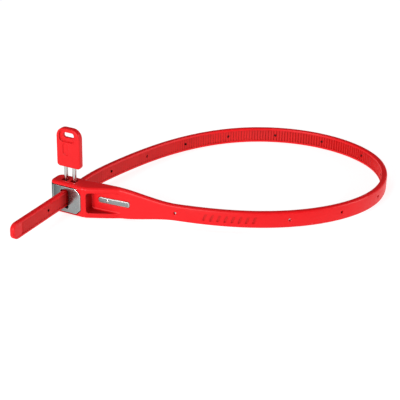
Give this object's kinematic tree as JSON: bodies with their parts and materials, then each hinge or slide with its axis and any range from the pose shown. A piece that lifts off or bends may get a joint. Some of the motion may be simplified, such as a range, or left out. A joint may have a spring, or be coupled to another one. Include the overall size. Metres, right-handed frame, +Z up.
{
  "type": "reusable locking strap",
  "caption": "Steel-cored toothed plastic strap closed in a loop through its own ratchet lock head, with a removable two-pin release key.",
  "frame": {"origin": "on the lock head's flat bottom face, under the middle of the slot that the strap passes through", "axes": "+X the way the fixed strap leaves the head, -Y the way the loose tail leaves the slot, +Z up across the strap's width, towards the key"},
  "size_m": [0.1276, 0.1599, 0.0388],
  "materials": {
    "red_nylon": "satin",
    "key_plastic": "satin",
    "polished_steel": "polished",
    "hard_steel": "ground",
    "spring_steel": "drawn"
  },
  "bodies": {
    "lock_body": {"head_jacket": "red_nylon", "steel_face": "polished_steel", "core_anchor": "polished_steel", "lock_case": "hard_steel", "case_cover": "hard_steel", "cover_rivet_lower": "hard_steel", "cover_rivet_upper": "hard_steel", "strap_front": "red_nylon", "core_front": "spring_steel", "strap_bend": "red_nylon", "core_bend": "spring_steel", "pawl_spring_lower": "spring_steel", "pawl_spring_upper": "spring_steel", "plunger_spring": "spring_steel"},
    "strap_end": {"strap_back": "red_nylon", "strap_tail": "red_nylon", "core_tail": "spring_steel"},
    "plunger": {"release_plunger": "hard_steel"},
    "lower_pawl": {"pawl_lower": "hard_steel"},
    "upper_pawl": {"pawl_upper": "hard_steel"},
    "key": {"key_bow": "key_plastic", "key_pin_left": "polished_steel", "key_pin_right": "polished_steel"}
  },
  "joints": [
    {"name": "strap_pull", "type": "slide", "parent": "lock_body", "child": "strap_end", "axis": [0, -1, 0], "range_m": [-0.0084, 0.0084], "deforming": ["strap_bend", "core_bend"]},
    {"name": "plunger_press", "type": "slide", "parent": "lock_body", "child": "plunger", "axis": [0, 0, -1], "range_m": [0, 0.0018], "stiffness_N_per_m": 1200, "springref_m": -0.0008, "deforming": ["plunger_spring"]},
    {"name": "lower_pawl_slide", "type": "slide", "parent": "lock_body", "child": "lower_pawl", "axis": [1, 0, 0], "range_m": [0, 0.0006], "stiffness_N_per_m": 400, "springref_m": -0.0005, "deforming": ["pawl_spring_lower"]},
    {"name": "upper_pawl_slide", "type": "slide", "parent": "lock_body", "child": "upper_pawl", "axis": [1, 0, 0], "range_m": [0, 0.0006], "stiffness_N_per_m": 400, "springref_m": -0.0005, "deforming": ["pawl_spring_upper"]},
    {"name": "key_lift", "type": "slide", "parent": "plunger", "child": "key", "axis": [0, 0, 1], "range_m": [0, 0.018]}
  ],
  "couplings": [
    {"joint": "lower_pawl_slide", "follows": "plunger_press", "ratio": 0.33},
    {"joint": "upper_pawl_slide", "follows": "plunger_press", "ratio": 0.33}
  ]
}
